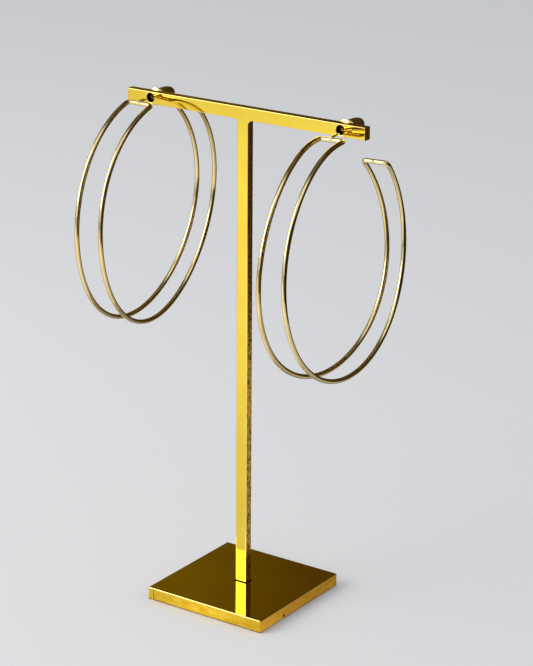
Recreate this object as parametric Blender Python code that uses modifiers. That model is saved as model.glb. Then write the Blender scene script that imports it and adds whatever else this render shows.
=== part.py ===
"""A pair of double hoop earrings hanging on a T-shaped display stand.

All sizes are in metres and +Z is up. The origin is at the middle of the base's underside.
The stand's front faces -Y and its crossbar runs along X.
"""

import math

import bmesh
import bpy
from mathutils import Matrix, Vector

# Room left between pieces that touch on the real thing
CLEARANCE = 0.0003

# Base plate
BASE_SIDE = 0.050
BASE_THICKNESS = 0.0048
BASE_EDGE = 0.0003
SOCKET_DEPTH = 0.0030

# T plate: a crossbar and a stem cut from one strip
PLATE_THICKNESS = 0.0032
PLATE_EDGE = 0.0002
STAND_HEIGHT = 0.184
STEM_WIDTH = 0.0047
BAR_LENGTH = 0.100
BAR_HEIGHT = 0.0045
INNER_FILLET = 0.0012
HOLE_DIAMETER = 0.0034
HOLE_INSET = 0.010

# One earring: a closed loop of wire bent into two open rings that two bridges join
WIRE_DIAMETER = 0.0017
RING_RADIUS = 0.041
RING_SPACING = 0.0097
OPENING_ANGLE = math.radians(46)
BEND_REACH = 0.0017

# Post soldered across the front bridge
POST_DIAMETER = 0.0009
SOLDER_DEPTH = 0.0003

# Ear nut that holds the post behind the bar: a flange, a waist and a bullet-shaped barrel
NUT_LENGTH = 0.0098
NUT_FLANGE_DIAMETER = 0.0066
NUT_FLANGE_THICKNESS = 0.0009
NUT_FLANGE_DOME = 0.0012
NUT_BARREL_DIAMETER = 0.0051
NUT_WAIST_DIAMETER = 0.0040
NUT_WAIST_LENGTH = 0.0006
NUT_NOSE_LENGTH = 0.0045
NUT_TIP_DIAMETER = 0.0026
NUT_BORE_DEPTH = 0.0050
POST_IN_NUT = 0.0030

# How the faceted pieces are divided
RING_SEGMENTS = 60
BEND_SEGMENTS = 5
ARC_SEGMENTS = 5
ROUND_SEGMENTS = 24
HOLE_SEGMENTS = 32
POST_SEGMENTS = 12
WIRE_BEVEL_RESOLUTION = 2
EDGE_SEGMENTS = 2
CUT_MARGIN = 0.001
WELD_DISTANCE = 0.000001
MERGE_DISTANCE = 0.00001
FLAT_ANGLE = math.radians(0.1)
SHARP_ANGLE = math.radians(40)

# How each earring hangs. The bridge's standoff is measured from the bar's front. The post
# rises and turns on its way back through the hole (degrees), and sits low and aside in it by
# shares of its play. The rings lean back about X, turn about Z and roll about Y (degrees).
HANGING = {
    "left": {
        "side": -1,
        "standoff": 0.0060,
        "sits_low": 0.24,
        "sits_aside": -0.33,
        "post_rise": -2.1,
        "post_turn": 3.2,
        "lean": 12.0,
        "turn": 6.2,
        "roll": 2.2,
    },
    "right": {
        "side": 1,
        "standoff": 0.0055,
        "sits_low": 0.56,
        "sits_aside": 0.0,
        "post_rise": 5.5,
        "post_turn": 3.2,
        "lean": 25.4,
        "turn": 2.2,
        "roll": -1.7,
    },
}

# How far each soft wire ring is bent out of its true plane: its splay in degrees, and its
# sideways sway in two, three and four half waves, as shares of the ring's radius.
RING_BENDS = {
    ("left", -1): {"splay": 0.4, "sway": (-0.005, 0.011, -0.012)},
    ("left", 1): {"splay": -0.5, "sway": (0.026, -0.011, -0.015)},
    ("right", -1): {"splay": 2.5, "sway": (-0.024, 0.052, 0.008)},
    ("right", 1): {"splay": 1.9, "sway": (0.007, 0.012, 0.007)},
}

# Places worked out from the sizes
BAR_MIDDLE_HEIGHT = STAND_HEIGHT - BAR_HEIGHT / 2
HOLE_OFFSET = BAR_LENGTH / 2 - HOLE_INSET
SOCKET_FLOOR = BASE_THICKNESS - SOCKET_DEPTH
STEM_FOOT = SOCKET_FLOOR + CLEARANCE
POST_PLAY = HOLE_DIAMETER / 2 - POST_DIAMETER / 2 - CLEARANCE
POST_SEAT = WIRE_DIAMETER / 2 + POST_DIAMETER / 2 - SOLDER_DEPTH
NUT_BORE_RADIUS = POST_DIAMETER / 2 + CLEARANCE

# Finishes: base colour, roughness; every piece is metal
POLISHED_GOLD = ((0.86, 0.62, 0.13), 0.12)
PALE_GOLD = ((0.82, 0.68, 0.42), 0.16)
NUT_GOLD = ((0.70, 0.52, 0.26), 0.22)


def clear_scene():
    for thing in list(bpy.data.objects):
        bpy.data.objects.remove(thing, do_unlink=True)


def make_collection(name):
    collection = bpy.data.collections.new(name)
    bpy.context.scene.collection.children.link(collection)
    return collection


def make_metal(name, finish):
    colour, roughness = finish
    material = bpy.data.materials.new(name)
    material.use_nodes = True
    shader = material.node_tree.nodes["Principled BSDF"]
    shader.inputs["Base Color"].default_value = (*colour, 1.0)
    shader.inputs["Metallic"].default_value = 1.0
    shader.inputs["Roughness"].default_value = roughness
    material.diffuse_color = (*colour, 1.0)
    return material


def add_object(name, data, collection):
    thing = bpy.data.objects.new(name, data)
    collection.objects.link(thing)
    return thing


def mesh_from(name, work):
    mesh = bpy.data.meshes.new(name)
    work.to_mesh(mesh)
    work.free()
    return mesh


def box_mesh(name, size):
    work = bmesh.new()
    bmesh.ops.create_cube(work, size=1.0)
    bmesh.ops.scale(work, vec=Vector(size), verts=work.verts)
    return mesh_from(name, work)


def cylinder_mesh(name, radius, length, segments):
    work = bmesh.new()
    bmesh.ops.create_cone(
        work,
        cap_ends=True,
        segments=segments,
        radius1=radius,
        radius2=radius,
        depth=length,
    )
    return mesh_from(name, work)


def curve_to_mesh_object(curve_object, collection):
    """Replace a curve object by a mesh object with welded caps, in the same place.

    Flat faces that the curve's filling split into triangles become one face again.
    """
    bpy.context.view_layer.update()
    evaluated = curve_object.evaluated_get(bpy.context.evaluated_depsgraph_get())
    mesh = bpy.data.meshes.new_from_object(evaluated)
    work = bmesh.new()
    work.from_mesh(mesh)
    bmesh.ops.remove_doubles(work, verts=work.verts, dist=WELD_DISTANCE)
    bmesh.ops.dissolve_limit(work, angle_limit=FLAT_ANGLE, verts=work.verts, edges=work.edges)
    work.to_mesh(mesh)
    work.free()
    name = curve_object.name
    placed = curve_object.matrix_world.copy()
    bpy.data.objects.remove(curve_object, do_unlink=True)
    solid = add_object(name, mesh, collection)
    solid.matrix_world = placed
    return solid


def make_cutter(name, mesh, cutters):
    cutter = add_object(name, mesh, cutters)
    cutter.hide_render = True
    cutter.display_type = "WIRE"
    return cutter


def add_boolean(piece, tool, operation):
    modifier = piece.modifiers.new(tool.name, "BOOLEAN")
    modifier.operation = operation
    modifier.solver = "EXACT"
    modifier.object = tool


def add_bevel(piece, width):
    modifier = piece.modifiers.new("edge", "BEVEL")
    modifier.width = width
    modifier.segments = EDGE_SEGMENTS
    modifier.limit_method = "ANGLE"


def shade_round(piece):
    piece.data.shade_smooth()
    piece.data.set_sharp_from_angle(angle=SHARP_ANGLE)


def rounded_outline(corners):
    """Turn corners (x, y, radius) into outline points, with an arc at each rounded corner."""
    points = []
    for index, (x, y, radius) in enumerate(corners):
        corner = Vector((x, y))
        before = Vector(corners[index - 1][:2])
        after = Vector(corners[(index + 1) % len(corners)][:2])
        if radius == 0:
            points.append(corner)
            continue
        towards_before = (before - corner).normalized()
        towards_after = (after - corner).normalized()
        half_angle = towards_before.angle(towards_after) / 2
        tangent_length = radius / math.tan(half_angle)
        centre_line = (towards_before + towards_after).normalized()
        centre = corner + centre_line * radius / math.sin(half_angle)
        start = corner + towards_before * tangent_length - centre
        end = corner + towards_after * tangent_length - centre
        sweep = start.angle_signed(end)
        for step in range(ARC_SEGMENTS + 1):
            turned = start.copy()
            turned.rotate(Matrix.Rotation(-sweep * step / ARC_SEGMENTS, 2))
            points.append(centre + turned)
    return points


def make_base(parts, cutters):
    base = add_object("base_plate", box_mesh("base_plate", (BASE_SIDE, BASE_SIDE, BASE_THICKNESS)), parts)
    base.location.z = BASE_THICKNESS / 2
    add_bevel(base, BASE_EDGE)
    socket_size = (STEM_WIDTH + 2 * CLEARANCE, PLATE_THICKNESS + 2 * CLEARANCE, 2 * SOCKET_DEPTH)
    socket = make_cutter("stem_socket", box_mesh("stem_socket", socket_size), cutters)
    socket.location.z = SOCKET_FLOOR + SOCKET_DEPTH
    add_boolean(base, socket, "DIFFERENCE")
    base.data.materials.append(make_metal("base_gold", POLISHED_GOLD))
    return base


def make_t_plate(parts, cutters):
    """Half of the T from a flat outline that runs a little past the middle, then mirrored."""
    bar_underside = STAND_HEIGHT - BAR_HEIGHT
    half_bar = BAR_LENGTH / 2
    half_stem = STEM_WIDTH / 2
    corners = [
        (-half_stem, STEM_FOOT, 0),
        (half_stem, STEM_FOOT, 0),
        (half_stem, bar_underside, INNER_FILLET),
        (half_bar, bar_underside, 0),
        (half_bar, STAND_HEIGHT, 0),
        (-half_stem, STAND_HEIGHT, 0),
    ]
    outline = rounded_outline(corners)
    curve = bpy.data.curves.new("t_plate", "CURVE")
    curve.dimensions = "2D"
    curve.fill_mode = "BOTH"
    curve.extrude = PLATE_THICKNESS / 2 - PLATE_EDGE
    curve.bevel_depth = PLATE_EDGE
    curve.bevel_resolution = 0
    curve.offset = -PLATE_EDGE
    spline = curve.splines.new("POLY")
    spline.points.add(len(outline) - 1)
    for point, place in zip(spline.points, outline):
        point.co = (place.x, place.y, 0, 1)
    spline.use_cyclic_u = True
    standing = add_object("t_plate", curve, parts)
    standing.rotation_euler.x = math.radians(90)
    plate = curve_to_mesh_object(standing, parts)
    cut_length = PLATE_THICKNESS + 2 * CUT_MARGIN
    mesh = cylinder_mesh("post_hole", HOLE_DIAMETER / 2, cut_length, HOLE_SEGMENTS)
    hole = make_cutter("post_hole", mesh, cutters)
    hole.location = (HOLE_OFFSET, 0, BAR_MIDDLE_HEIGHT)
    hole.rotation_euler.x = math.radians(90)
    add_boolean(plate, hole, "DIFFERENCE")
    mirror = plate.modifiers.new("other_half", "MIRROR")
    mirror.use_axis = (True, False, False)
    mirror.use_bisect_axis = (True, False, False)
    mirror.merge_threshold = MERGE_DISTANCE
    plate.data.materials.append(make_metal("t_plate_gold", POLISHED_GOLD))
    return plate


def post_direction(hanging):
    """Unit vector along the post, from the bridge back through the hole."""
    rise = math.radians(hanging["post_rise"])
    turn = math.radians(hanging["post_turn"])
    return Vector((-math.sin(turn) * math.cos(rise), math.cos(turn) * math.cos(rise), math.sin(rise)))


def post_in_hole(hanging):
    """Where the post's axis crosses the middle of the bar's thickness."""
    across = hanging["side"] * HOLE_OFFSET + hanging["sits_aside"] * POST_PLAY
    height = BAR_MIDDLE_HEIGHT - hanging["sits_low"] * POST_PLAY
    return Vector((across, 0, height))


def bridge_middle(hanging):
    """The middle of the front bridge's axis, just under the post."""
    direction = post_direction(hanging)
    run = (PLATE_THICKNESS / 2 + hanging["standoff"]) / direction.y
    return post_in_hole(hanging) - direction * run - Vector((0, 0, POST_SEAT))


def ring_point(name, side, share):
    """A point of one ring's axis, from its front end (share 0) round the bottom to its rear end (1).

    The earring's own frame has its origin at the rings' middle, the opening's middle at +Z, the
    front end towards -Y and the rings side by side along X.
    """
    bends = RING_BENDS[(name, side)]
    angle = OPENING_ANGLE / 2 + share * (2 * math.pi - OPENING_ANGLE)
    end_height = RING_RADIUS * math.cos(OPENING_ANGLE / 2)
    drop = end_height - RING_RADIUS * math.cos(angle)
    splay = math.radians(bends["splay"])
    waves = enumerate(bends["sway"], start=2)
    sway = sum(size * RING_RADIUS * math.sin(count * math.pi * share) for count, size in waves)
    return Vector((
        side * RING_SPACING / 2 + drop * math.sin(splay) + sway,
        -RING_RADIUS * math.sin(angle),
        end_height - drop * math.cos(splay),
    ))


def bend_points(start, corner, end):
    """Points of a smooth bend that leaves start and arrives at end, drawn towards the corner."""
    points = []
    for step in range(1, BEND_SEGMENTS):
        share = step / BEND_SEGMENTS
        points.append(start.lerp(corner, share).lerp(corner.lerp(end, share), share))
    return points


def wire_points(name):
    """The closed path of one earring's wire: down one ring, over a bridge, up the other, and back."""
    arc_length = RING_RADIUS * (2 * math.pi - OPENING_ANGLE)
    margin = BEND_REACH / arc_length
    shares = [margin + (1 - 2 * margin) * step / RING_SEGMENTS for step in range(RING_SEGMENTS + 1)]
    points = []
    for side, order in ((-1, shares), (1, shares[::-1])):
        ring_end = order[-1] > order[0]
        points += [ring_point(name, side, share) for share in order]
        corner = ring_point(name, side, 1.0 if ring_end else 0.0)
        next_corner = ring_point(name, -side, 1.0 if ring_end else 0.0)
        along = (next_corner - corner).normalized()
        next_start = ring_point(name, -side, order[-1])
        bridge_start = corner + along * BEND_REACH
        bridge_end = next_corner - along * BEND_REACH
        points += bend_points(points[-1], corner, bridge_start)
        points += [bridge_start, bridge_end]
        points += bend_points(bridge_end, next_corner, next_start)
    return points


def earring_placement(name, hanging):
    """Rotation and location that put the front bridge's middle under the post."""
    rotation = (
        Matrix.Rotation(math.radians(hanging["turn"]), 3, "Z")
        @ Matrix.Rotation(math.radians(hanging["roll"]), 3, "Y")
        @ Matrix.Rotation(-math.radians(hanging["lean"]), 3, "X")
    )
    middle = (ring_point(name, -1, 0.0) + ring_point(name, 1, 0.0)) / 2
    return rotation, bridge_middle(hanging) - rotation @ middle


def nut_seat(hanging):
    """The middle of the nut's front face, flat against the bar's back and centred on the post."""
    direction = post_direction(hanging)
    front = PLATE_THICKNESS / 2 + CLEARANCE
    gripped = post_in_hole(hanging) + direction * (front + POST_IN_NUT / 2) / direction.y
    return Vector((gripped.x, front, gripped.z))


def make_post(name, hanging, cutters):
    """A straight pin from the bridge's front through the hole into the nut's bore."""
    direction = post_direction(hanging)
    front = (PLATE_THICKNESS / 2 + hanging["standoff"] + WIRE_DIAMETER / 2) / direction.y
    back = (PLATE_THICKNESS / 2 + CLEARANCE + POST_IN_NUT) / direction.y
    mesh = cylinder_mesh(name + "_post", POST_DIAMETER / 2, front + back, POST_SEGMENTS)
    post = make_cutter(name + "_post", mesh, cutters)
    post.location = post_in_hole(hanging) + direction * (back - front) / 2
    post.rotation_euler = direction.to_track_quat("Z", "Y").to_euler()
    return post


def make_hoop(name, hanging, holder, parts, cutters):
    path = wire_points(name)
    curve = bpy.data.curves.new(name + "_hoop", "CURVE")
    curve.dimensions = "3D"
    curve.bevel_depth = WIRE_DIAMETER / 2
    curve.bevel_resolution = WIRE_BEVEL_RESOLUTION
    spline = curve.splines.new("POLY")
    spline.points.add(len(path) - 1)
    for point, place in zip(spline.points, path):
        point.co = (*place, 1)
    spline.use_cyclic_u = True
    hoop = curve_to_mesh_object(add_object(name + "_hoop", curve, parts), parts)
    rotation, location = earring_placement(name, hanging)
    hoop.parent = holder
    hoop.location = location - holder.location
    hoop.rotation_euler = rotation.to_euler()
    add_boolean(hoop, make_post(name, hanging, cutters), "UNION")
    shade_round(hoop)
    hoop.data.materials.append(make_metal(name + "_hoop_gold", PALE_GOLD))
    return hoop


def nut_profile():
    """Half outline of the nut from its closed end down the outside and up into its bore."""
    tip = NUT_TIP_DIAMETER / 2
    barrel = NUT_BARREL_DIAMETER / 2
    flange = NUT_FLANGE_DIAMETER / 2
    waist = NUT_WAIST_DIAMETER / 2
    waist_top = NUT_FLANGE_THICKNESS + NUT_WAIST_LENGTH
    points = [(0, NUT_LENGTH)]
    for step in range(ARC_SEGMENTS + 1):
        angle = math.radians(90) * (1 - step / ARC_SEGMENTS)
        across = tip + (barrel - tip) * math.cos(angle)
        along = NUT_LENGTH - NUT_NOSE_LENGTH + NUT_NOSE_LENGTH * math.sin(angle)
        points.append((across, along))
    points += [
        (barrel, waist_top + NUT_WAIST_LENGTH),
        (waist, waist_top),
        (waist, NUT_FLANGE_THICKNESS),
    ]
    for step in range(ARC_SEGMENTS + 1):
        angle = math.radians(90 - 180 * step / ARC_SEGMENTS)
        half = NUT_FLANGE_THICKNESS / 2
        across = flange - NUT_FLANGE_DOME + NUT_FLANGE_DOME * math.cos(angle)
        points.append((across, half + half * math.sin(angle)))
    points += [
        (NUT_BORE_RADIUS, 0),
        (NUT_BORE_RADIUS, NUT_BORE_DEPTH),
        (0, NUT_BORE_DEPTH),
    ]
    return points


def make_nut(name, hanging, holder, parts):
    profile = nut_profile()
    mesh = bpy.data.meshes.new(name + "_ear_nut")
    edges = [(index, index + 1) for index in range(len(profile) - 1)]
    mesh.from_pydata([(across, 0, along) for across, along in profile], edges, [])
    nut = add_object(name + "_ear_nut", mesh, parts)
    turn = nut.modifiers.new("turn", "SCREW")
    turn.axis = "Z"
    turn.angle = 2 * math.pi
    turn.steps = ROUND_SEGMENTS
    turn.render_steps = ROUND_SEGMENTS
    turn.use_merge_vertices = True
    turn.merge_threshold = MERGE_DISTANCE
    turn.use_smooth_shade = True
    nut.parent = holder
    nut.location = nut_seat(hanging) - holder.location
    nut.rotation_euler = Vector((0, 1, 0)).to_track_quat("Z", "Y").to_euler()
    nut.data.materials.append(make_metal(name + "_nut_gold", NUT_GOLD))
    return nut


def make_earring(name, hanging, parts, cutters):
    holder = add_object(name + "_earring", None, parts)
    holder.location = post_in_hole(hanging)
    make_hoop(name, hanging, holder, parts, cutters)
    make_nut(name, hanging, holder, parts)


def main():
    clear_scene()
    parts = make_collection("hoop_earrings_on_stand")
    cutters = make_collection("cutters")
    make_base(parts, cutters)
    make_t_plate(parts, cutters)
    for name, hanging in HANGING.items():
        make_earring(name, hanging, parts, cutters)


main()
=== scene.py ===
"""Looks of a pair of double hoop earrings hanging on a T-shaped display stand.

Sizes are in metres and +Z is up. The stand's front faces -Y and its crossbar runs along X.
"""

import math

import bmesh
import bpy
from mathutils import Matrix, Vector


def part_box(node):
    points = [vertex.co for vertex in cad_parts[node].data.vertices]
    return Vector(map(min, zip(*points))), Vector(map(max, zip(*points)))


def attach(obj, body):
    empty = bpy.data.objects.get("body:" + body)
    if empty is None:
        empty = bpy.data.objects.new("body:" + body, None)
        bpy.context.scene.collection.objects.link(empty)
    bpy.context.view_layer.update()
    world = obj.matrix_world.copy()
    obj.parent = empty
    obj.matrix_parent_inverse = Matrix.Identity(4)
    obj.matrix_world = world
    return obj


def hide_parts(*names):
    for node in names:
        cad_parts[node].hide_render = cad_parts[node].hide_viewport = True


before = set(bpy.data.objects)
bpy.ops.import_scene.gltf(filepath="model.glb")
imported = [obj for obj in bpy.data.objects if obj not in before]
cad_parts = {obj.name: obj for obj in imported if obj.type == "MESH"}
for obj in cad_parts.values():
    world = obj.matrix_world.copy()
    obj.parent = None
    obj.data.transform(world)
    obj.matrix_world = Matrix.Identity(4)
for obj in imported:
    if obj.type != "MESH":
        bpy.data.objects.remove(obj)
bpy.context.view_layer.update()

# Camera, as it stood for the photograph
PHOTO_HEIGHT_PX = 666
FOCAL_LENGTH_PX = 2385.8
SENSOR_WIDTH_MM = 36
CAMERA_PLACE = Vector((0.46152, -0.65875, 0.37683))
CAMERA_AZIMUTH = math.radians(34.452)
CAMERA_ELEVATION = math.radians(18.907)
CAMERA_ROLL = math.radians(0.425)
CAMERA_NEAREST = 0.01
CAMERA_FARTHEST = 100

# Stand
BASE_EDGE = 0.00035
PLATE_EDGE = 0.00028
INNER_FILLET = 0.0012
BAR_HEIGHT = 0.0045
STEM_WIDTH = 0.0047
HOLE_DIAMETER = 0.0034
HOLE_INSET = 0.010
SOCKET_DEPTH = 0.0030
CLEARANCE = 0.0003

# How far the painted shadow line at the stem's foot reaches past the socket, in front and behind
FOOT_SHADE_REACH = 0.0005

# Small marks on the base's cut edges: a line near the left front corner and a dark speck
CORNER_LINE = 0.0021
LINE_WIDTH = 0.00035
SPECK_PLACE = (-0.0100, 0.0012)
SPECK_SIZE = 0.0011

# One earring: a closed loop of wire bent into two open rings that two bridges join
WIRE_DIAMETER = 0.0017
RING_RADIUS = 0.041
RING_SPACING = 0.0097
OPENING_ANGLE = math.radians(46)
BEND_REACH = 0.0017

# The joint where the wire's two ends meet, on the rear bridge
JOINT_SHARE = 0.42
JOINT_REACH = 0.00045
JOINT_RADIUS_SHARE = 0.62

# Post soldered across the front bridge
POST_DIAMETER = 0.0009
SOLDER_DEPTH = 0.0003
SOLDER_SIZE = Vector((0.0011, 0.0009, 0.00085))

# Ear nut that holds the post behind the bar
NUT_LENGTH = 0.0098
NUT_FLANGE_DIAMETER = 0.0066
NUT_FLANGE_THICKNESS = 0.0009
NUT_FLANGE_DOME = 0.0012
NUT_BARREL_DIAMETER = 0.0051
NUT_WAIST_DIAMETER = 0.0040
NUT_WAIST_LENGTH = 0.0006
NUT_NOSE_LENGTH = 0.0045
NUT_TIP_DIAMETER = 0.0026
NUT_BORE_DEPTH = 0.0050
POST_IN_NUT = 0.0030
NUT_TIP_HOLE_DIAMETER = 0.0012
NUT_TIP_HOLE_DEPTH = 0.0008

# How finely round things are divided
RING_SEGMENTS = 300
BEND_SEGMENTS = 12
BRIDGE_SEGMENTS = 24
WIRE_BEVEL_RESOLUTION = 8
POST_SEGMENTS = 32
HOLE_SEGMENTS = 48
FILLET_SEGMENTS = 10
EDGE_SEGMENTS = 4
NUT_SEGMENTS = 72
NUT_ARC_SEGMENTS = 10
WELD_DISTANCE = 0.000001
SHARP_ANGLE = math.radians(35)
FLAT_FACE_COSINE = 0.99999

# How each earring hangs. The bridge's standoff is measured from the bar's front. The post
# rises and turns on its way back through the hole (degrees), and sits low and aside in it by
# shares of its play. The rings lean back about X, turn about Z and roll about Y (degrees).
HANGING = {
    "left": {
        "side": -1,
        "standoff": 0.0060,
        "sits_low": 0.24,
        "sits_aside": -0.33,
        "post_rise": -2.1,
        "post_turn": 3.2,
        "lean": 12.0,
        "turn": 6.2,
        "roll": 2.2,
    },
    "right": {
        "side": 1,
        "standoff": 0.0055,
        "sits_low": 0.56,
        "sits_aside": 0.0,
        "post_rise": 5.5,
        "post_turn": 3.2,
        "lean": 25.4,
        "turn": 2.2,
        "roll": -1.7,
    },
}

# How far each soft wire ring is bent out of its true plane: its splay in degrees, and its
# sideways sway in two, three and four half waves, as shares of the ring's radius.
RING_BENDS = {
    ("left", -1): {"splay": 0.4, "sway": (-0.005, 0.011, -0.012)},
    ("left", 1): {"splay": -0.5, "sway": (0.026, -0.011, -0.015)},
    ("right", -1): {"splay": 2.5, "sway": (-0.024, 0.052, 0.008)},
    ("right", 1): {"splay": 1.9, "sway": (0.007, 0.012, 0.007)},
}

# Places of the stand, read from the frame
BASE_LOW, BASE_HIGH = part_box("base_plate")
PLATE_LOW, PLATE_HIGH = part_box("t_plate")
PLATE_THICKNESS = PLATE_HIGH.y - PLATE_LOW.y
BAR_MIDDLE_HEIGHT = PLATE_HIGH.z - BAR_HEIGHT / 2
HOLE_OFFSET = PLATE_HIGH.x - HOLE_INSET
POST_PLAY = HOLE_DIAMETER / 2 - POST_DIAMETER / 2 - CLEARANCE
POST_SEAT = WIRE_DIAMETER / 2 + POST_DIAMETER / 2 - SOLDER_DEPTH
NUT_BORE_RADIUS = POST_DIAMETER / 2 + CLEARANCE

# Colours, linear
STAND_GOLD = (1.0, 0.77, 0.092)
STAND_GOLD_DEEP = (0.97, 0.67, 0.066)
# Paler gold on rounded edges: a painted sheen, so their highlights come out cream
EDGE_SHEEN_GOLD = (1.0, 0.84, 0.36)
# Darker, more orange gold on the plate's sawn sides, with dark grit: painted shade of those faces
SHADED_CUT_GOLD = (1.0, 0.57, 0.05)
SHADED_CUT_GOLD_DEEP = (0.30, 0.13, 0.010)
SATIN_GOLD = (0.98, 0.66, 0.055)
SATIN_GOLD_DEEP = (0.86, 0.48, 0.018)
# A darker copy of the satin gold for the base's ±X faces: painted shade of that side
SHADED_SIDE_SATIN_GOLD = (0.93, 0.50, 0.020)
SHADED_SIDE_SATIN_GOLD_DEEP = (0.82, 0.38, 0.008)
# Brown of the corner line mark, and of the painted shadow along the base's lower edge
MARK_AND_SHADOW_BROWN = (0.22, 0.10, 0.015)
# Near black: painted shade in the bores, the socket and round the stem's foot, and the dark speck
SHADE_AND_SPECK_BROWN = (0.014, 0.006, 0.003)
HOOP_GOLD = (0.93, 0.77, 0.40)
HOOP_GOLD_DEEP = (0.86, 0.64, 0.27)
NUT_GOLD = (0.88, 0.70, 0.40)
NUT_GOLD_DEEP = (0.74, 0.54, 0.28)

# Patterns in the metals: features per metre, detail and stretch of each noise
PATTERNS = {
    "plate_tone": {"scale": 60, "detail": 2, "stretch": (1, 1, 1)},
    "plate_grit": {"scale": 1500, "detail": 3, "stretch": (1, 1, 0.6)},
    "plate_smear": {"scale": 90, "detail": 3, "stretch": (1, 1, 0.3)},
    "base_tone": {"scale": 45, "detail": 2, "stretch": (1, 1, 1)},
    "base_streak": {"scale": 260, "detail": 4, "stretch": (1, 1, 2.5)},
    "base_smear": {"scale": 120, "detail": 4, "stretch": (1, 0.35, 1)},
    "base_grain": {"scale": 1800, "detail": 3, "stretch": (1, 1, 0.4)},
    "wire_patch": {"scale": 70, "detail": 3, "stretch": (1, 1, 1)},
    "wire_smear": {"scale": 300, "detail": 3, "stretch": (1, 1, 1)},
    "nut_patch": {"scale": 400, "detail": 3, "stretch": (1, 1, 1)},
    "nut_smear": {"scale": 900, "detail": 3, "stretch": (1, 1, 1)},
    "nut_grain": {"scale": 3000, "detail": 2, "stretch": (1, 1, 1)},
}

# Where a pattern starts and ends the blend of two colours
TONE_BLEND = (0.35, 0.70)
GRIT_BLEND = (0.48, 0.60)
STREAK_BLEND = (0.36, 0.66)
WIRE_BLEND = (0.42, 0.68)
NUT_BLEND = (0.40, 0.65)

# Roughness: where in its pattern it starts and ends to change, and its two values
PLATE_ROUGHNESS = (0.40, 0.75, 0.035, 0.065)
SAWN_ROUGHNESS = (0.40, 0.65, 0.14, 0.34)
BASE_ROUGHNESS = (0.40, 0.75, 0.03, 0.07)
SATIN_ROUGHNESS = (0.35, 0.70, 0.16, 0.30)
WIRE_ROUGHNESS = (0.40, 0.70, 0.025, 0.065)
NUT_ROUGHNESS = (0.40, 0.70, 0.12, 0.24)
PIT_ROUGHNESS = 0.6

# Which faces a finish covers, by one part of their normal: where it starts and where it is full
SAWN_SIDE = (0.93, 0.99)
BEVEL_OFF_FRONT = (0.99, 0.93)
BEVEL_OFF_SIDE = (0.10, 0.30)
EDGE_OFF_TOP = (0.95, 0.60)
RIM_OFF_EDGE = (0.10, 0.45)
EDGE_OFF_FRONT = (0.50, 0.90)
EDGE_OFF_UNDERSIDE = (-0.99, -0.95)

# Strength and depth of the fine relief on cut faces and on the ear nuts
SAWN_BUMP = 0.5
EDGE_BUMP = 0.25
CUT_BUMP_DEPTH = 0.0002
NUT_BUMP = 0.08
NUT_BUMP_DEPTH = 0.0001

# Floor
FLOOR_SIZE = 12.0
FLOOR_PALE = (0.80, 0.80, 0.81)
FLOOR_ROUGHNESS = 0.9
FLOOR_SPECULAR = 0.2

# Pale surroundings, which light the floor
WORLD_PALE = (0.80, 0.81, 0.83)
WORLD_PALE_STRENGTH = 0.80

# The room and its ceiling as polished metal sees them: bright towards an azimuth, over a range
# of the cosine from it, and dim elsewhere. The ceiling takes over at a height of the direction.
ROOM_BRIGHT = (0.90, 0.90, 0.88)
ROOM_DIM = (0.09, 0.07, 0.05)
ROOM_BRIGHT_AZIMUTH = math.radians(-34)
ROOM_BRIGHT_RANGE = (0.28, 0.86)
CEILING_BRIGHT = (0.95, 0.95, 0.94)
CEILING_DIM = (0.13, 0.115, 0.09)
CEILING_BRIGHT_AZIMUTH = math.radians(10)
CEILING_BRIGHT_RANGE = (-0.12, 0.15)
ROOM_TO_CEILING = (0.55, 0.85)

# Large soft light on the left
WINDOW_AZIMUTH = math.radians(-42)
WINDOW_ELEVATION = math.radians(30)
WINDOW_DISTANCE = 1.3
WINDOW_WIDTH = 1.1
WINDOW_HEIGHT = 0.95
WINDOW_RADIANCE = 3.0

# What polished metal sees of the floor, near the stand and far from it: an azimuth, and the
# glow by the cosine from that azimuth, mapped to 0 (opposite) to 1. By its distance from the
# stand the floor's near glow turns into the far one, and it is weaker close by and far away.
FLOOR_GLOW = (1.0, 0.99, 0.96)
FLOOR_GLOW_STRENGTH = 1.25
NEAR_AZIMUTH = math.radians(-5)
NEAR_GLOW = (
    (0.0, 0.20),
    (0.067, 0.35),
    (0.213, 0.37),
    (0.371, 0.40),
    (0.544, 0.46),
    (0.711, 0.57),
    (0.854, 0.76),
    (0.933, 0.75),
    (1.0, 0.98),
)
FAR_AZIMUTH = math.radians(-32)
FAR_GLOW = (
    (0.0, 0.008),
    (0.25, 0.010),
    (0.45, 0.035),
    (0.63, 0.12),
    (0.80, 0.32),
    (0.92, 0.68),
    (1.0, 0.84),
)
NEAR_TO_FAR = (0.24, 0.56)
FLOOR_CLOSE_DISTANCE = (0.08, 0.26)
FLOOR_CLOSE_GLOW = 0.80
FLOOR_FADE_DISTANCE = (0.55, 1.10)
FLOOR_FADE_TO = 0.55

# Dark cards that only polished metal sees: their plan as (x, y) corners, height and the
# colours of their left and right parts, which blend over a stretch of X
CARDS = {
    "left_wall_card": {
        "plan": ((-0.90, 0.24), (-0.05, 0.24)),
        "height": 0.62,
        "left_colour": (0.129, 0.087, 0.006),
        "right_colour": (0.073, 0.044, 0.004),
    },
    "right_wall_card": {
        "plan": ((-0.05, 0.24), (0.30, 0.24)),
        "height": 0.62,
        "left_colour": (0.052, 0.035, 0.012),
        "right_colour": (0.052, 0.035, 0.012),
    },
    "dark_card": {
        "plan": ((0.27, -0.30), (0.37, -0.15), (0.33, 0.02), (0.30, 0.24)),
        "height": 0.35,
        "left_colour": (0.024, 0.015, 0.004),
        "right_colour": (0.024, 0.015, 0.004),
    },
}
CARD_BLEND = (-0.205, -0.125)


def add_object(name, data):
    thing = bpy.data.objects.new(name, data)
    bpy.context.scene.collection.objects.link(thing)
    return thing


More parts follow.
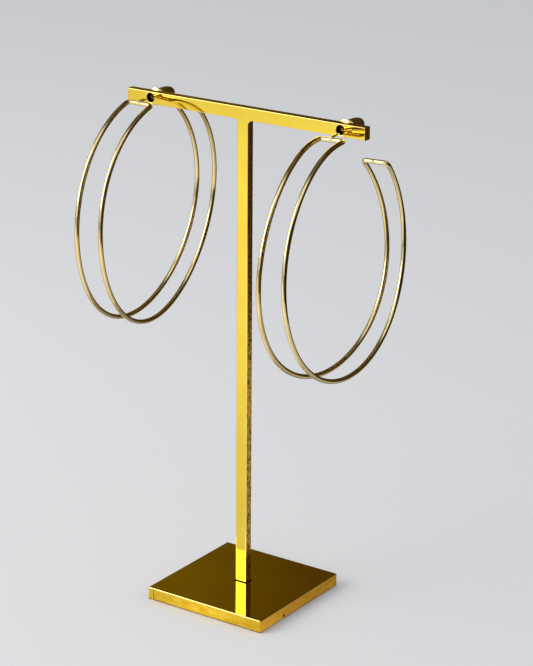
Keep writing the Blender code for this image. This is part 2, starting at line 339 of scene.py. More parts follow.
def mesh_object(name, work):
    """A new object with the mesh that was made in work."""
    mesh = bpy.data.meshes.new(name)
    work.to_mesh(mesh)
    work.free()
    return add_object(name, mesh)


def box_object(name, size, centre):
    work = bmesh.new()
    bmesh.ops.create_cube(work, size=1.0)
    bmesh.ops.scale(work, vec=size, verts=work.verts)
    bmesh.ops.translate(work, vec=centre, verts=work.verts)
    return mesh_object(name, work)


def level_direction(azimuth):
    """Horizontal unit vector at an azimuth counted from -Y towards +X."""
    return Vector((math.sin(azimuth), -math.cos(azimuth), 0))


def make_camera():
    level = level_direction(CAMERA_AZIMUTH)
    back = level * math.cos(CAMERA_ELEVATION) + Vector((0, 0, math.sin(CAMERA_ELEVATION)))
    right = Vector((math.cos(CAMERA_AZIMUTH), math.sin(CAMERA_AZIMUTH), 0))
    up = back.cross(right)
    rolled_right = right * math.cos(CAMERA_ROLL) + up * math.sin(CAMERA_ROLL)
    rolled_up = up * math.cos(CAMERA_ROLL) - right * math.sin(CAMERA_ROLL)
    data = bpy.data.cameras.new("camera")
    data.sensor_width = SENSOR_WIDTH_MM
    data.lens = FOCAL_LENGTH_PX * SENSOR_WIDTH_MM / PHOTO_HEIGHT_PX
    data.clip_start = CAMERA_NEAREST
    data.clip_end = CAMERA_FARTHEST
    camera = add_object("camera", data)
    turned = Matrix((rolled_right, rolled_up, back)).transposed()
    camera.matrix_world = Matrix.Translation(CAMERA_PLACE) @ turned.to_4x4()
    bpy.context.scene.camera = camera


def add_node(tree, kind, inputs=None, **settings):
    """Make a node, set its properties, and set or link its inputs."""
    made = tree.nodes.new(kind)
    for name, value in settings.items():
        setattr(made, name, value)
    for name, value in (inputs or {}).items():
        if isinstance(value, bpy.types.NodeSocket):
            tree.links.new(value, made.inputs[name])
        else:
            made.inputs[name].default_value = value
    return made


def calculate(tree, operation, *values):
    """A number worked out from one or two others."""
    inputs = dict(enumerate(values))
    return add_node(tree, "ShaderNodeMath", inputs, operation=operation).outputs["Value"]


def measure(tree, operation, *vectors):
    """A number worked out from vectors, such as a length."""
    inputs = dict(enumerate(vectors))
    return add_node(tree, "ShaderNodeVectorMath", inputs, operation=operation).outputs["Value"]


def vector_of(tree, operation, *vectors):
    """A vector worked out from others."""
    inputs = dict(enumerate(vectors))
    return add_node(tree, "ShaderNodeVectorMath", inputs, operation=operation).outputs["Vector"]


def parts_of(tree, vector):
    """The X, Y and Z of a vector."""
    return add_node(tree, "ShaderNodeSeparateXYZ", {"Vector": vector}).outputs


def lobe(tree, direction, azimuth, low, high):
    """0 to 1 as a direction turns towards an azimuth: a smooth step between two cosines."""
    towards = measure(tree, "DOT_PRODUCT", direction, level_direction(azimuth))
    return add_node(
        tree,
        "ShaderNodeMapRange",
        {"Value": towards, "From Min": low, "From Max": high, "To Min": 0.0, "To Max": 1.0},
        interpolation_type="SMOOTHSTEP",
    ).outputs["Result"]


def make_world():
    """Pale light for the floor, and for polished metal a room that is dark on the right."""
    world = bpy.data.worlds.new("studio")
    world.use_nodes = True
    bpy.context.scene.world = world
    tree = world.node_tree
    tree.nodes.clear()
    direction = add_node(tree, "ShaderNodeTexCoord").outputs["Generated"]
    side = lobe(tree, direction, ROOM_BRIGHT_AZIMUTH, *ROOM_BRIGHT_RANGE)
    room = mix_colour(tree, side, ROOM_DIM, ROOM_BRIGHT)
    above = lobe(tree, direction, CEILING_BRIGHT_AZIMUTH, *CEILING_BRIGHT_RANGE)
    ceiling = mix_colour(tree, above, CEILING_DIM, CEILING_BRIGHT)
    overhead = between(tree, parts_of(tree, direction)["Z"], *ROOM_TO_CEILING)
    lit = mix_colour(tree, overhead, room, ceiling)
    glossy = add_node(tree, "ShaderNodeLightPath").outputs["Is Glossy Ray"]
    pale = tuple(part * WORLD_PALE_STRENGTH for part in WORLD_PALE)
    seen = mix_colour(tree, glossy, pale, lit)
    background = add_node(tree, "ShaderNodeBackground", {"Color": seen, "Strength": 1.0})
    add_node(tree, "ShaderNodeOutputWorld", {"Surface": background.outputs["Background"]})


def make_window():
    """A large soft light on the left, which polished edges and wires mirror as white lines."""
    level = level_direction(WINDOW_AZIMUTH)
    towards = level * math.cos(WINDOW_ELEVATION) + Vector((0, 0, math.sin(WINDOW_ELEVATION)))
    data = bpy.data.lights.new("window", "AREA")
    data.shape = "RECTANGLE"
    data.size = WINDOW_WIDTH
    data.size_y = WINDOW_HEIGHT
    data.energy = WINDOW_RADIANCE * math.pi * WINDOW_WIDTH * WINDOW_HEIGHT
    light = add_object("window", data)
    light.location = towards * WINDOW_DISTANCE + Vector((0, 0, PLATE_HIGH.z / 2))
    light.rotation_euler = towards.to_track_quat("Z", "Y").to_euler()


def make_card(name, plan, height, left_colour, right_colour):
    """A dark upright card round the back or the right, seen only in polished metal."""
    work = bmesh.new()
    rows = []
    for x, y in plan:
        rows.append((work.verts.new((x, y, 0)), work.verts.new((x, y, height))))
    for (low, high), (next_low, next_high) in zip(rows, rows[1:]):
        work.faces.new((low, next_low, next_high, high))
    card = mesh_object(name, work)
    card.visible_camera = False
    card.visible_diffuse = False
    card.visible_shadow = False
    card.visible_transmission = False
    material = bpy.data.materials.new(name)
    material.use_nodes = True
    tree = material.node_tree
    tree.nodes.clear()
    place = add_node(tree, "ShaderNodeTexCoord").outputs["Object"]
    blend = between(tree, parts_of(tree, place)["X"], *CARD_BLEND)
    colour = mix_colour(tree, blend, left_colour, right_colour)
    glow = add_node(tree, "ShaderNodeEmission", {"Color": colour, "Strength": 1.0})
    add_node(tree, "ShaderNodeOutputMaterial", {"Surface": glow.outputs["Emission"]})
    card.data.materials.append(material)


def glow_round(tree, outward, azimuth, points):
    """The floor's glow by how far a direction turns away from an azimuth."""
    towards = measure(tree, "DOT_PRODUCT", outward, level_direction(azimuth))
    curve = add_node(tree, "ShaderNodeFloatCurve", {"Value": between(tree, towards, -1, 1)})
    set_curve(curve, points)
    return curve.outputs["Value"]


def make_floor():
    """A pale floor, which polished metal sees brightest in front and dimmer far away."""
    work = bmesh.new()
    bmesh.ops.create_grid(work, x_segments=1, y_segments=1, size=FLOOR_SIZE / 2)
    floor = mesh_object("floor", work)
    material = bpy.data.materials.new("pale_floor")
    material.use_nodes = True
    tree = material.node_tree
    shader = tree.nodes["Principled BSDF"]
    shader.inputs["Base Color"].default_value = (*FLOOR_PALE, 1)
    shader.inputs["Roughness"].default_value = FLOOR_ROUGHNESS
    shader.inputs["Specular IOR Level"].default_value = FLOOR_SPECULAR
    place = add_node(tree, "ShaderNodeTexCoord").outputs["Object"]
    outward = vector_of(tree, "NORMALIZE", place)
    near = glow_round(tree, outward, NEAR_AZIMUTH, NEAR_GLOW)
    far = glow_round(tree, outward, FAR_AZIMUTH, FAR_GLOW)
    distance = measure(tree, "LENGTH", place)
    strength = mix_value(tree, between(tree, distance, *NEAR_TO_FAR), near, far)
    close = between(tree, distance, *FLOOR_CLOSE_DISTANCE, FLOOR_CLOSE_GLOW, 1.0)
    fade = between(tree, distance, *FLOOR_FADE_DISTANCE, 1.0, FLOOR_FADE_TO)
    for share in (close, fade, FLOOR_GLOW_STRENGTH):
        strength = calculate(tree, "MULTIPLY", strength, share)
    emitted = {"Color": (*FLOOR_GLOW, 1), "Strength": strength}
    glow = add_node(tree, "ShaderNodeEmission", emitted)
    glossy = add_node(tree, "ShaderNodeLightPath").outputs["Is Glossy Ray"]
    seen = add_node(
        tree,
        "ShaderNodeMixShader",
        {0: glossy, 1: shader.outputs["BSDF"], 2: glow.outputs["Emission"]},
    )
    tree.links.new(seen.outputs["Shader"], tree.nodes["Material Output"].inputs["Surface"])
    floor.data.materials.append(material)


def set_curve(node, points):
    """Give a float curve node its points (0 to 1 across, 0 to 1 up)."""
    curve = node.mapping.curves[0]
    for across, up in points[1:-1]:
        curve.points.new(across, up)
    for point, (across, up) in zip(curve.points, points):
        point.location = (across, up)
        point.handle_type = "VECTOR"
    node.mapping.update()


def new_metal(name):
    material = bpy.data.materials.new(name)
    material.use_nodes = True
    tree = material.node_tree
    shader = tree.nodes["Principled BSDF"]
    shader.inputs["Metallic"].default_value = 1.0
    place = add_node(tree, "ShaderNodeTexCoord").outputs["Object"]
    return material, tree, shader, place


def pattern(tree, place, name):
    """One of the metals' patterns, from 0 to 1, at a place."""
    facts = PATTERNS[name]
    mapped = add_node(tree, "ShaderNodeMapping", {"Vector": place, "Scale": facts["stretch"]})
    inputs = {
        "Vector": mapped.outputs["Vector"],
        "Scale": facts["scale"],
        "Detail": facts["detail"],
    }
    return add_node(tree, "ShaderNodeTexNoise", inputs).outputs["Fac"]


def between(tree, value, low, high, to_low=0.0, to_high=1.0):
    """Map a value's low to high onto another range, and hold it at the ends."""
    return add_node(
        tree,
        "ShaderNodeMapRange",
        {"Value": value, "From Min": low, "From Max": high, "To Min": to_low, "To Max": to_high},
    ).outputs["Result"]


def mix_colour(tree, factor, first, second):
    ends = {"Factor": factor}
    for name, colour in (("A", first), ("B", second)):
        ends[name] = colour if isinstance(colour, bpy.types.NodeSocket) else (*colour, 1)
    return add_node(tree, "ShaderNodeMix", ends, data_type="RGBA").outputs["Result"]


def mix_value(tree, factor, first, second):
    ends = {"Factor": factor, "A": first, "B": second}
    return add_node(tree, "ShaderNodeMix", ends, data_type="FLOAT").outputs["Result"]


def add_bump(tree, shader, height, strength, distance):
    bump = add_node(
        tree,
        "ShaderNodeBump",
        {"Height": height, "Strength": strength, "Distance": distance},
    )
    tree.links.new(bump.outputs["Normal"], shader.inputs["Normal"])


def inside_box(tree, place, low, high):
    """1 where a place lies within a box, else 0."""
    offset = vector_of(tree, "SUBTRACT", place, (low + high) / 2)
    distances = parts_of(tree, vector_of(tree, "ABSOLUTE", offset))
    inside = 1.0
    for distance, reach in zip(distances, (high - low) / 2):
        within = calculate(tree, "LESS_THAN", distance, reach)
        inside = calculate(tree, "MULTIPLY", within, inside)
    return inside


def make_plate_gold():
    """Mirror-polished gold with a painted pale sheen on its rounded edges, rough sawn sides
    painted darker as shade, and painted shade in the bores.
    """
    material, tree, shader, place = new_metal("plate_gold")
    facing = parts_of(tree, add_node(tree, "ShaderNodeNewGeometry").outputs["Normal"])
    sideways = calculate(tree, "ABSOLUTE", facing["X"])
    forward = calculate(tree, "ABSOLUTE", facing["Y"])
    sawn = between(tree, sideways, *SAWN_SIDE)
    off_front = between(tree, forward, *BEVEL_OFF_FRONT)
    off_side = between(tree, forward, *BEVEL_OFF_SIDE)
    bevel = calculate(tree, "MULTIPLY", off_front, off_side)
    tone = between(tree, pattern(tree, place, "plate_tone"), *TONE_BLEND)
    polished = mix_colour(tree, tone, STAND_GOLD, STAND_GOLD_DEEP)
    # Painted sheen: the rounded edges take a paler gold
    with_edge_sheen = mix_colour(tree, bevel, polished, EDGE_SHEEN_GOLD)
    grit = pattern(tree, place, "plate_grit")
    # Painted shade: the sawn sideways faces take a darker, more orange gold
    cut = mix_colour(tree, between(tree, grit, *GRIT_BLEND), SHADED_CUT_GOLD, SHADED_CUT_GOLD_DEEP)
    face = mix_colour(tree, sawn, with_edge_sheen, cut)
    # Painted shade: the bores are coloured near black
    bore = 0.0
    for side in (-1, 1):
        centre = Vector((side * HOLE_OFFSET, 0, BAR_MIDDLE_HEIGHT))
        reach = Vector((HOLE_DIAMETER, PLATE_THICKNESS - 2 * PLATE_EDGE, HOLE_DIAMETER)) / 2
        reach += Vector((WELD_DISTANCE, 0, WELD_DISTANCE))
        here = inside_box(tree, place, centre - reach, centre + reach)
        bore = calculate(tree, "ADD", bore, here)
    tree.links.new(mix_colour(tree, bore, face, SHADE_AND_SPECK_BROWN), shader.inputs["Base Color"])
    smear = between(tree, pattern(tree, place, "plate_smear"), *PLATE_ROUGHNESS)
    surface = mix_value(tree, sawn, smear, between(tree, grit, *SAWN_ROUGHNESS))
    tree.links.new(mix_value(tree, bore, surface, PIT_ROUGHNESS), shader.inputs["Roughness"])
    relief = between(tree, sideways, *SAWN_SIDE, 0.0, SAWN_BUMP)
    add_bump(tree, shader, grit, relief, CUT_BUMP_DEPTH)
    return material


def make_base_gold():
    """Mirror-polished gold on top and satin cut edges, with small marks, a painted pale sheen on
    the upper rim, painted shade on the ±X sides, a painted shadow along the lower edge, and
    painted shade in the socket and round the stem's foot.
    """
    material, tree, shader, place = new_metal("base_gold")
    facing = parts_of(tree, add_node(tree, "ShaderNodeNewGeometry").outputs["Normal"])
    upward = facing["Z"]
    sideways = calculate(tree, "ABSOLUTE", facing["X"])
    edge = between(tree, upward, *EDGE_OFF_TOP)
    tone = between(tree, pattern(tree, place, "base_tone"), *TONE_BLEND)
    polished = mix_colour(tree, tone, STAND_GOLD, STAND_GOLD_DEEP)
    streak = pattern(tree, place, "base_streak")
    deep = between(tree, streak, *STREAK_BLEND)
    front_satin = mix_colour(tree, deep, SATIN_GOLD, SATIN_GOLD_DEEP)
    shaded_side_satin = mix_colour(tree, deep, SHADED_SIDE_SATIN_GOLD, SHADED_SIDE_SATIN_GOLD_DEEP)
    # Painted shade: the ±X faces take a darker copy of the satin gold
    on_shaded_side = between(tree, sideways, *EDGE_OFF_FRONT)
    satin = mix_colour(tree, on_shaded_side, front_satin, shaded_side_satin)
    # Painted sheen: the upper rounded rim takes a paler gold
    with_edge_sheen = mix_colour(tree, between(tree, upward, *RIM_OFF_EDGE), satin, EDGE_SHEEN_GOLD)
    face = mix_colour(tree, edge, polished, with_edge_sheen)
    # Painted shadow: a brown band along the base's lower edge, where it meets the floor
    height = parts_of(tree, place)["Z"]
    foot_shadow_band = between(tree, height, BASE_LOW.z + 2 * BASE_EDGE, BASE_LOW.z + BASE_EDGE / 2)
    off_underside = between(tree, upward, *EDGE_OFF_UNDERSIDE)
    painted_foot_shadow = calculate(tree, "MULTIPLY", foot_shadow_band, off_underside)
    face = mix_colour(tree, painted_foot_shadow, face, MARK_AND_SHADOW_BROWN)
    lines = ((CORNER_LINE, MARK_AND_SHADOW_BROWN), (CORNER_LINE - LINE_WIDTH, STAND_GOLD))
    for across, colour in lines:
        low = Vector((BASE_LOW.x + across, BASE_LOW.y - LINE_WIDTH, BASE_LOW.z))
        high = low + Vector((LINE_WIDTH, 2 * LINE_WIDTH, BASE_HIGH.z - BASE_EDGE))
        face = mix_colour(tree, inside_box(tree, place, low, high), face, colour)
    speck = Vector((BASE_HIGH.x, *SPECK_PLACE))
    spot = Vector((1, 1, 1)) * SPECK_SIZE / 2
    speck_here = inside_box(tree, place, speck - spot, speck + spot)
    face = mix_colour(tree, speck_here, face, SHADE_AND_SPECK_BROWN)
    # Painted shade: the socket and a line round the stem's foot are coloured near black
    reach = Vector((STEM_WIDTH, PLATE_THICKNESS, 0)) / 2
    reach += Vector((CLEARANCE + WELD_DISTANCE, CLEARANCE + FOOT_SHADE_REACH, 0))
    low = Vector((0, 0, BASE_LOW.z + WELD_DISTANCE)) - reach
    high = Vector((0, 0, BASE_HIGH.z + WELD_DISTANCE)) + reach
    socket = inside_box(tree, place, low, high)
    tree.links.new(mix_colour(tree, socket, face, SHADE_AND_SPECK_BROWN), shader.inputs["Base Color"])
    smear = between(tree, pattern(tree, place, "base_smear"), *BASE_ROUGHNESS)
    surface = mix_value(tree, edge, smear, between(tree, streak, *SATIN_ROUGHNESS))
    tree.links.new(mix_value(tree, socket, surface, PIT_ROUGHNESS), shader.inputs["Roughness"])
    relief = between(tree, upward, *EDGE_OFF_TOP, 0.0, EDGE_BUMP)
    add_bump(tree, shader, pattern(tree, place, "base_grain"), relief, CUT_BUMP_DEPTH)
    return material


def make_patchy_gold(name, colour, deep_colour, blend, roughness):
    """Polished gold with a deeper tone in patches, in the patterns of the same name."""
    material, tree, shader, place = new_metal(name + "_gold")
    patch = between(tree, pattern(tree, place, name + "_patch"), *blend)
    tree.links.new(mix_colour(tree, patch, colour, deep_colour), shader.inputs["Base Color"])
    smear = between(tree, pattern(tree, place, name + "_smear"), *roughness)
    tree.links.new(smear, shader.inputs["Roughness"])
    return material, tree, shader, place


def make_wire_gold():
    """Pale polished gold wire."""
    return make_patchy_gold("wire", HOOP_GOLD, HOOP_GOLD_DEEP, WIRE_BLEND, WIRE_ROUGHNESS)[0]


def make_nut_gold():
    """Duller gold with a fine grain."""
    material, tree, shader, place = make_patchy_gold(
        "nut",
        NUT_GOLD,
        NUT_GOLD_DEEP,
        NUT_BLEND,
        NUT_ROUGHNESS,
    )
    add_bump(tree, shader, pattern(tree, place, "nut_grain"), NUT_BUMP, NUT_BUMP_DEPTH)
    return material


def settle(thing):
    """Turn a curve or an object with modifiers into a plain mesh whose place is in its points.

    Its seams are welded.
    """
    bpy.context.view_layer.update()
    name = thing.name
    placed = thing.matrix_world.copy()
    evaluated = thing.evaluated_get(bpy.context.evaluated_depsgraph_get())
    mesh = bpy.data.meshes.new_from_object(evaluated)
    work = bmesh.new()
    work.from_mesh(mesh)
    bmesh.ops.remove_doubles(work, verts=work.verts, dist=WELD_DISTANCE)
    work.to_mesh(mesh)
    work.free()
    mesh.transform(placed)
    bpy.data.objects.remove(thing, do_unlink=True)
    return add_object(name, mesh)


def add_boolean(piece, tool, operation):
    modifier = piece.modifiers.new(tool.name, "BOOLEAN")
    modifier.operation = operation
    modifier.solver = "EXACT"
    modifier.object = tool


def shade_round(piece):
    """Smooth shading, with flat faces kept flat so that they mirror without bending."""
    piece.data.shade_smooth()
    piece.data.set_sharp_from_angle(angle=SHARP_ANGLE)
    for face in piece.data.polygons:
        if max(abs(part) for part in face.normal) > FLAT_FACE_COSINE:
            face.use_smooth = False


def finish_piece(piece, node, material):
    """Give a piece its material and shading, put it under the root body and hide the solid it
    stands for.
    """
    piece.data.materials.clear()
    piece.data.materials.append(material)
    shade_round(piece)
    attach(piece, "root")
    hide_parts(node)


def arc_points(centre, radius, start, end, segments):
    """Points of an arc in a plane, from one angle to another."""
    points = []
    for step in range(segments + 1):
        angle = start + (end - start) * step / segments
        points.append(centre + Vector((math.cos(angle), math.sin(angle))) * radius)
    return points


def add_outline(curve, points):
    spline = curve.splines.new("POLY")
    spline.points.add(len(points) - 1)
    for point, place in zip(spline.points, points):
        point.co = (place.x, place.y, 0, 1)
    spline.use_cyclic_u = True


def make_t_plate(material):
    """Crossbar and stem cut from one strip, with rounded edges and a hole near each end."""
    underside = PLATE_HIGH.z - BAR_HEIGHT
    half_bar = PLATE_HIGH.x
    half_stem = STEM_WIDTH / 2
    quarter = math.pi / 2
    fillet_height = underside - INNER_FILLET
    right_fillet = Vector((half_stem + INNER_FILLET, fillet_height))
    left_fillet = Vector((-half_stem - INNER_FILLET, fillet_height))
    outline = [Vector((-half_stem, PLATE_LOW.z)), Vector((half_stem, PLATE_LOW.z))]
    outline += arc_points(right_fillet, INNER_FILLET, 2 * quarter, quarter, FILLET_SEGMENTS)
    outline += [
        Vector((half_bar, underside)),
        Vector((half_bar, PLATE_HIGH.z)),
        Vector((-half_bar, PLATE_HIGH.z)),
        Vector((-half_bar, underside)),
    ]
    outline += arc_points(left_fillet, INNER_FILLET, quarter, 0, FILLET_SEGMENTS)
    curve = bpy.data.curves.new("t_plate_fine", "CURVE")
    curve.dimensions = "2D"
    curve.fill_mode = "BOTH"
    curve.extrude = PLATE_THICKNESS / 2 - PLATE_EDGE
    curve.bevel_depth = PLATE_EDGE
    curve.bevel_resolution = EDGE_SEGMENTS
    curve.offset = -PLATE_EDGE
    add_outline(curve, outline)
    for side in (-1, 1):
        centre = Vector((side * HOLE_OFFSET, BAR_MIDDLE_HEIGHT))
        round_hole = arc_points(centre, HOLE_DIAMETER / 2, 4 * quarter, 0, HOLE_SEGMENTS)
        add_outline(curve, round_hole[:-1])
    standing = add_object("t_plate_fine", curve)
    standing.rotation_euler.x = quarter
    finish_piece(settle(standing), "t_plate", material)


def make_base(material):
    """Square foot with rounded edges and the socket that the stem stands in."""
    work = bmesh.new()
    bmesh.ops.create_cube(work, size=1.0)
    bmesh.ops.scale(work, vec=BASE_HIGH - BASE_LOW, verts=work.verts)
    bmesh.ops.translate(work, vec=(BASE_HIGH + BASE_LOW) / 2, verts=work.verts)
    bmesh.ops.bevel(
        work,
        geom=work.edges[:],
        offset=BASE_EDGE,
        segments=EDGE_SEGMENTS,
        profile=0.5,
        affect="EDGES",
    )
    base = mesh_object("base_plate_fine", work)
    socket_size = Vector((
        STEM_WIDTH + 2 * CLEARANCE,
        PLATE_THICKNESS + 2 * CLEARANCE,
        2 * SOCKET_DEPTH,
    ))
    socket = box_object("stem_socket", socket_size, Vector((0, 0, BASE_HIGH.z)))
    add_boolean(base, socket, "DIFFERENCE")
    base = settle(base)
    bpy.data.objects.remove(socket, do_unlink=True)
    finish_piece(base, "base_plate", material)


def post_direction(hanging):
    """Unit vector along the post, from the bridge back through the hole."""
    rise = math.radians(hanging["post_rise"])
    turn = math.radians(hanging["post_turn"])
    return Vector((
        -math.sin(turn) * math.cos(rise),
        math.cos(turn) * math.cos(rise),
        math.sin(rise),
    ))


def post_in_hole(hanging):
    """Where the post's axis crosses the middle of the bar's thickness."""
    across = hanging["side"] * HOLE_OFFSET + hanging["sits_aside"] * POST_PLAY
    height = BAR_MIDDLE_HEIGHT - hanging["sits_low"] * POST_PLAY
    return Vector((across, 0, height))


def bridge_middle(hanging):
    """The middle of the front bridge's axis, just under the post."""
    direction = post_direction(hanging)
    run = (PLATE_THICKNESS / 2 + hanging["standoff"]) / direction.y
    return post_in_hole(hanging) - direction * run - Vector((0, 0, POST_SEAT))


def ring_point(name, side, share):
    """A point of one ring's axis, from its front end (share 0) to its rear end (share 1).

    The earring's own frame has its origin at the rings' middle, the opening's middle at +Z, the
    front end towards -Y and the rings side by side along X.
    """
    bends = RING_BENDS[(name, side)]
    angle = OPENING_ANGLE / 2 + share * (2 * math.pi - OPENING_ANGLE)
    end_height = RING_RADIUS * math.cos(OPENING_ANGLE / 2)
    drop = end_height - RING_RADIUS * math.cos(angle)
    splay = math.radians(bends["splay"])
    waves = enumerate(bends["sway"], start=2)
    sway = sum(size * RING_RADIUS * math.sin(count * math.pi * share) for count, size in waves)
    return Vector((
        side * RING_SPACING / 2 + drop * math.sin(splay) + sway,
        -RING_RADIUS * math.sin(angle),
        end_height - drop * math.cos(splay),
    ))


def bend_points(start, corner, end):
    """Points of a smooth bend that leaves start and arrives at end, drawn towards the corner."""
    points = []
    for step in range(1, BEND_SEGMENTS):
        share = step / BEND_SEGMENTS
        points.append(start.lerp(corner, share).lerp(corner.lerp(end, share), share))
    return points


def joint_at(distance):
    """The wire's radius share at a distance along it from the joint of its two ends."""
    closeness = max(0.0, 1 - abs(distance) / JOINT_REACH)
    return 1 - (1 - JOINT_RADIUS_SHARE) * closeness ** 2


def bridge_points(start, end, has_joint):
    """Points and radius shares along a bridge, with the joint's groove on its underside."""
    length = (end - start).length
    points = []
    for step in range(BRIDGE_SEGMENTS + 1):
        share = step / BRIDGE_SEGMENTS
        radius_share = joint_at((share - JOINT_SHARE) * length) if has_joint else 1.0
        lift = Vector((0, 0, WIRE_DIAMETER / 2 * (1 - radius_share)))
        points.append((start.lerp(end, share) + lift, radius_share))
    return points


def wire_points(name):
    """The closed path of one earring's wire as points with radius shares."""
    arc_length = RING_RADIUS * (2 * math.pi - OPENING_ANGLE)
    margin = BEND_REACH / arc_length
    steps = range(RING_SEGMENTS + 1)
    shares = [margin + (1 - 2 * margin) * step / RING_SEGMENTS for step in steps]
    points = []
    for side, order in ((-1, shares), (1, shares[::-1])):
        at_rear = order[-1] > order[0]
        ring = [ring_point(name, side, share) for share in order]
        corner = ring_point(name, side, 1.0 if at_rear else 0.0)
        next_corner = ring_point(name, -side, 1.0 if at_rear else 0.0)
        along = (next_corner - corner).normalized()
        next_start = ring_point(name, -side, order[-1])
        bridge_start = corner + along * BEND_REACH
        bridge_end = next_corner - along * BEND_REACH
        points += [(place, 1.0) for place in ring]
        points += [(place, 1.0) for place in bend_points(ring[-1], corner, bridge_start)]
        points += bridge_points(bridge_start, bridge_end, at_rear)
        points += [(place, 1.0) for place in bend_points(bridge_end, next_corner, next_start)]
    return points


def earring_placement(name, hanging):
    """Rotation and location that put the front bridge's middle under the post."""
    rotation = (
        Matrix.Rotation(math.radians(hanging["turn"]), 3, "Z")
        @ Matrix.Rotation(math.radians(hanging["roll"]), 3, "Y")
        @ Matrix.Rotation(-math.radians(hanging["lean"]), 3, "X")
    )
    middle = (ring_point(name, -1, 0.0) + ring_point(name, 1, 0.0)) / 2
    return rotation, bridge_middle(hanging) - rotation @ middle


def nut_seat(hanging):
    """The middle of the nut's front face, flat against the bar's back and centred on the post."""
    direction = post_direction(hanging)
    front = PLATE_THICKNESS / 2 + CLEARANCE
    gripped = post_in_hole(hanging) + direction * (front + POST_IN_NUT / 2) / direction.y
    return Vector((gripped.x, front, gripped.z))


def make_post(name, hanging):
    """A straight pin from the bridge's front through the hole into the nut's bore."""
    direction = post_direction(hanging)
    front = (PLATE_THICKNESS / 2 + hanging["standoff"] + WIRE_DIAMETER / 2) / direction.y
    back = (PLATE_THICKNESS / 2 + CLEARANCE + POST_IN_NUT) / direction.y
    work = bmesh.new()
    bmesh.ops.create_cone(
        work,
        cap_ends=True,
        segments=POST_SEGMENTS,
        radius1=POST_DIAMETER / 2,
        radius2=POST_DIAMETER / 2,
        depth=front + back,
    )
    post = mesh_object(name + "_post", work)
    post.location = post_in_hole(hanging) + direction * (back - front) / 2
    post.rotation_euler = direction.to_track_quat("Z", "Y").to_euler()
    return post


def make_solder(name, hanging):
    """A small mound of solder where the post crosses the bridge."""
    work = bmesh.new()
    bmesh.ops.create_uvsphere(
        work,
        u_segments=POST_SEGMENTS,
        v_segments=POST_SEGMENTS // 2,
        radius=1.0,
    )
    bmesh.ops.scale(work, vec=SOLDER_SIZE, verts=work.verts)
    solder = mesh_object(name + "_solder", work)
    solder.location = bridge_middle(hanging) + Vector((0, 0, POST_SEAT / 2))
    return solder


def make_hoop(name, hanging, material):
    """One earring's wire with its post and the solder between them, as one piece."""
    path = wire_points(name)
    curve = bpy.data.curves.new(name + "_hoop_fine", "CURVE")
    curve.dimensions = "3D"
    curve.bevel_depth = WIRE_DIAMETER / 2
    curve.bevel_resolution = WIRE_BEVEL_RESOLUTION
    spline = curve.splines.new("POLY")
    spline.points.add(len(path) - 1)
    for point, (place, radius_share) in zip(spline.points, path):
        point.co = (*place, 1)
        point.radius = radius_share
    spline.use_cyclic_u = True
    wire = add_object(name + "_hoop_fine", curve)
    rotation, location = earring_placement(name, hanging)
    wire.matrix_world = Matrix.Translation(location) @ rotation.to_4x4()
    hoop = settle(wire)
    tools = [make_post(name, hanging), make_solder(name, hanging)]
    for tool in tools:
        add_boolean(hoop, tool, "UNION")
    hoop = settle(hoop)
    for tool in tools:
        bpy.data.objects.remove(tool, do_unlink=True)
    finish_piece(hoop, name + "_hoop", material)


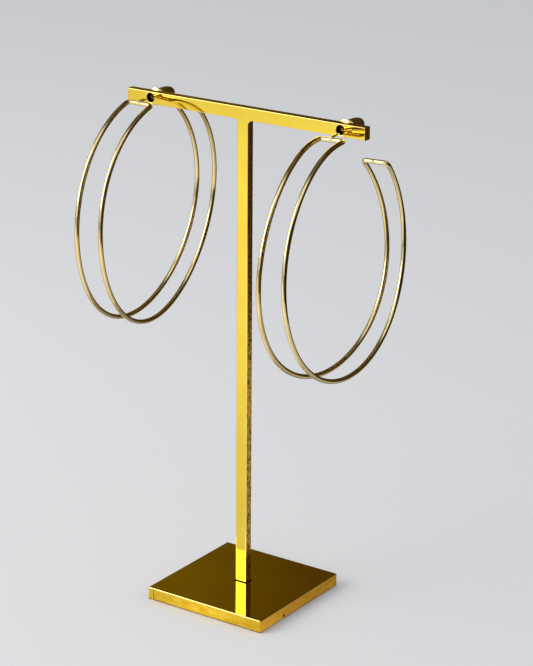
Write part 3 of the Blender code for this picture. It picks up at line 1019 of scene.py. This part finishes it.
def nut_profile():
    """Half outline of the nut from the dimple in its tip down the outside and up into its bore."""
    tip = NUT_TIP_DIAMETER / 2
    tip_hole = NUT_TIP_HOLE_DIAMETER / 2
    barrel = NUT_BARREL_DIAMETER / 2
    flange = NUT_FLANGE_DIAMETER / 2
    waist = NUT_WAIST_DIAMETER / 2
    waist_top = NUT_FLANGE_THICKNESS + NUT_WAIST_LENGTH
    half_flange = NUT_FLANGE_THICKNESS / 2
    quarter = math.pi / 2
    dimple_floor = NUT_LENGTH - NUT_TIP_HOLE_DEPTH
    points = [
        Vector((0, dimple_floor)),
        Vector((tip_hole, dimple_floor)),
        Vector((tip_hole, NUT_LENGTH)),
    ]
    for step in range(NUT_ARC_SEGMENTS + 1):
        angle = quarter * (1 - step / NUT_ARC_SEGMENTS)
        across = tip + (barrel - tip) * math.cos(angle)
        along = NUT_LENGTH - NUT_NOSE_LENGTH + NUT_NOSE_LENGTH * math.sin(angle)
        points.append(Vector((across, along)))
    points += [
        Vector((barrel, waist_top + NUT_WAIST_LENGTH)),
        Vector((waist, waist_top)),
        Vector((waist, NUT_FLANGE_THICKNESS)),
    ]
    for step in range(2 * NUT_ARC_SEGMENTS + 1):
        angle = quarter * (1 - step / NUT_ARC_SEGMENTS)
        across = flange - NUT_FLANGE_DOME + NUT_FLANGE_DOME * math.cos(angle)
        points.append(Vector((across, half_flange + half_flange * math.sin(angle))))
    points += [
        Vector((NUT_BORE_RADIUS, 0)),
        Vector((NUT_BORE_RADIUS, NUT_BORE_DEPTH)),
        Vector((0, NUT_BORE_DEPTH)),
    ]
    return points


def make_nut(name, hanging, material):
    """The ear nut, turned from its profile, against the bar's back."""
    profile = nut_profile()
    mesh = bpy.data.meshes.new(name + "_nut_fine")
    edges = [(index, index + 1) for index in range(len(profile) - 1)]
    mesh.from_pydata([(point.x, 0, point.y) for point in profile], edges, [])
    nut = add_object(name + "_nut_fine", mesh)
    turn = nut.modifiers.new("turn", "SCREW")
    turn.axis = "Z"
    turn.angle = 2 * math.pi
    turn.steps = NUT_SEGMENTS
    turn.render_steps = NUT_SEGMENTS
    turn.use_merge_vertices = True
    turn.merge_threshold = WELD_DISTANCE
    nut.location = nut_seat(hanging)
    nut.rotation_euler = Vector((0, 1, 0)).to_track_quat("Z", "Y").to_euler()
    finish_piece(settle(nut), name + "_ear_nut", material)


bpy.context.scene.view_settings.view_transform = "Standard"
make_camera()
make_world()
make_window()
for card, facts in CARDS.items():
    make_card(card, **facts)
make_floor()
make_base(make_base_gold())
make_t_plate(make_plate_gold())
wire_gold = make_wire_gold()
nut_gold = make_nut_gold()
for earring, hanging in HANGING.items():
    make_hoop(earring, hanging, wire_gold)
    make_nut(earring, hanging, nut_gold)
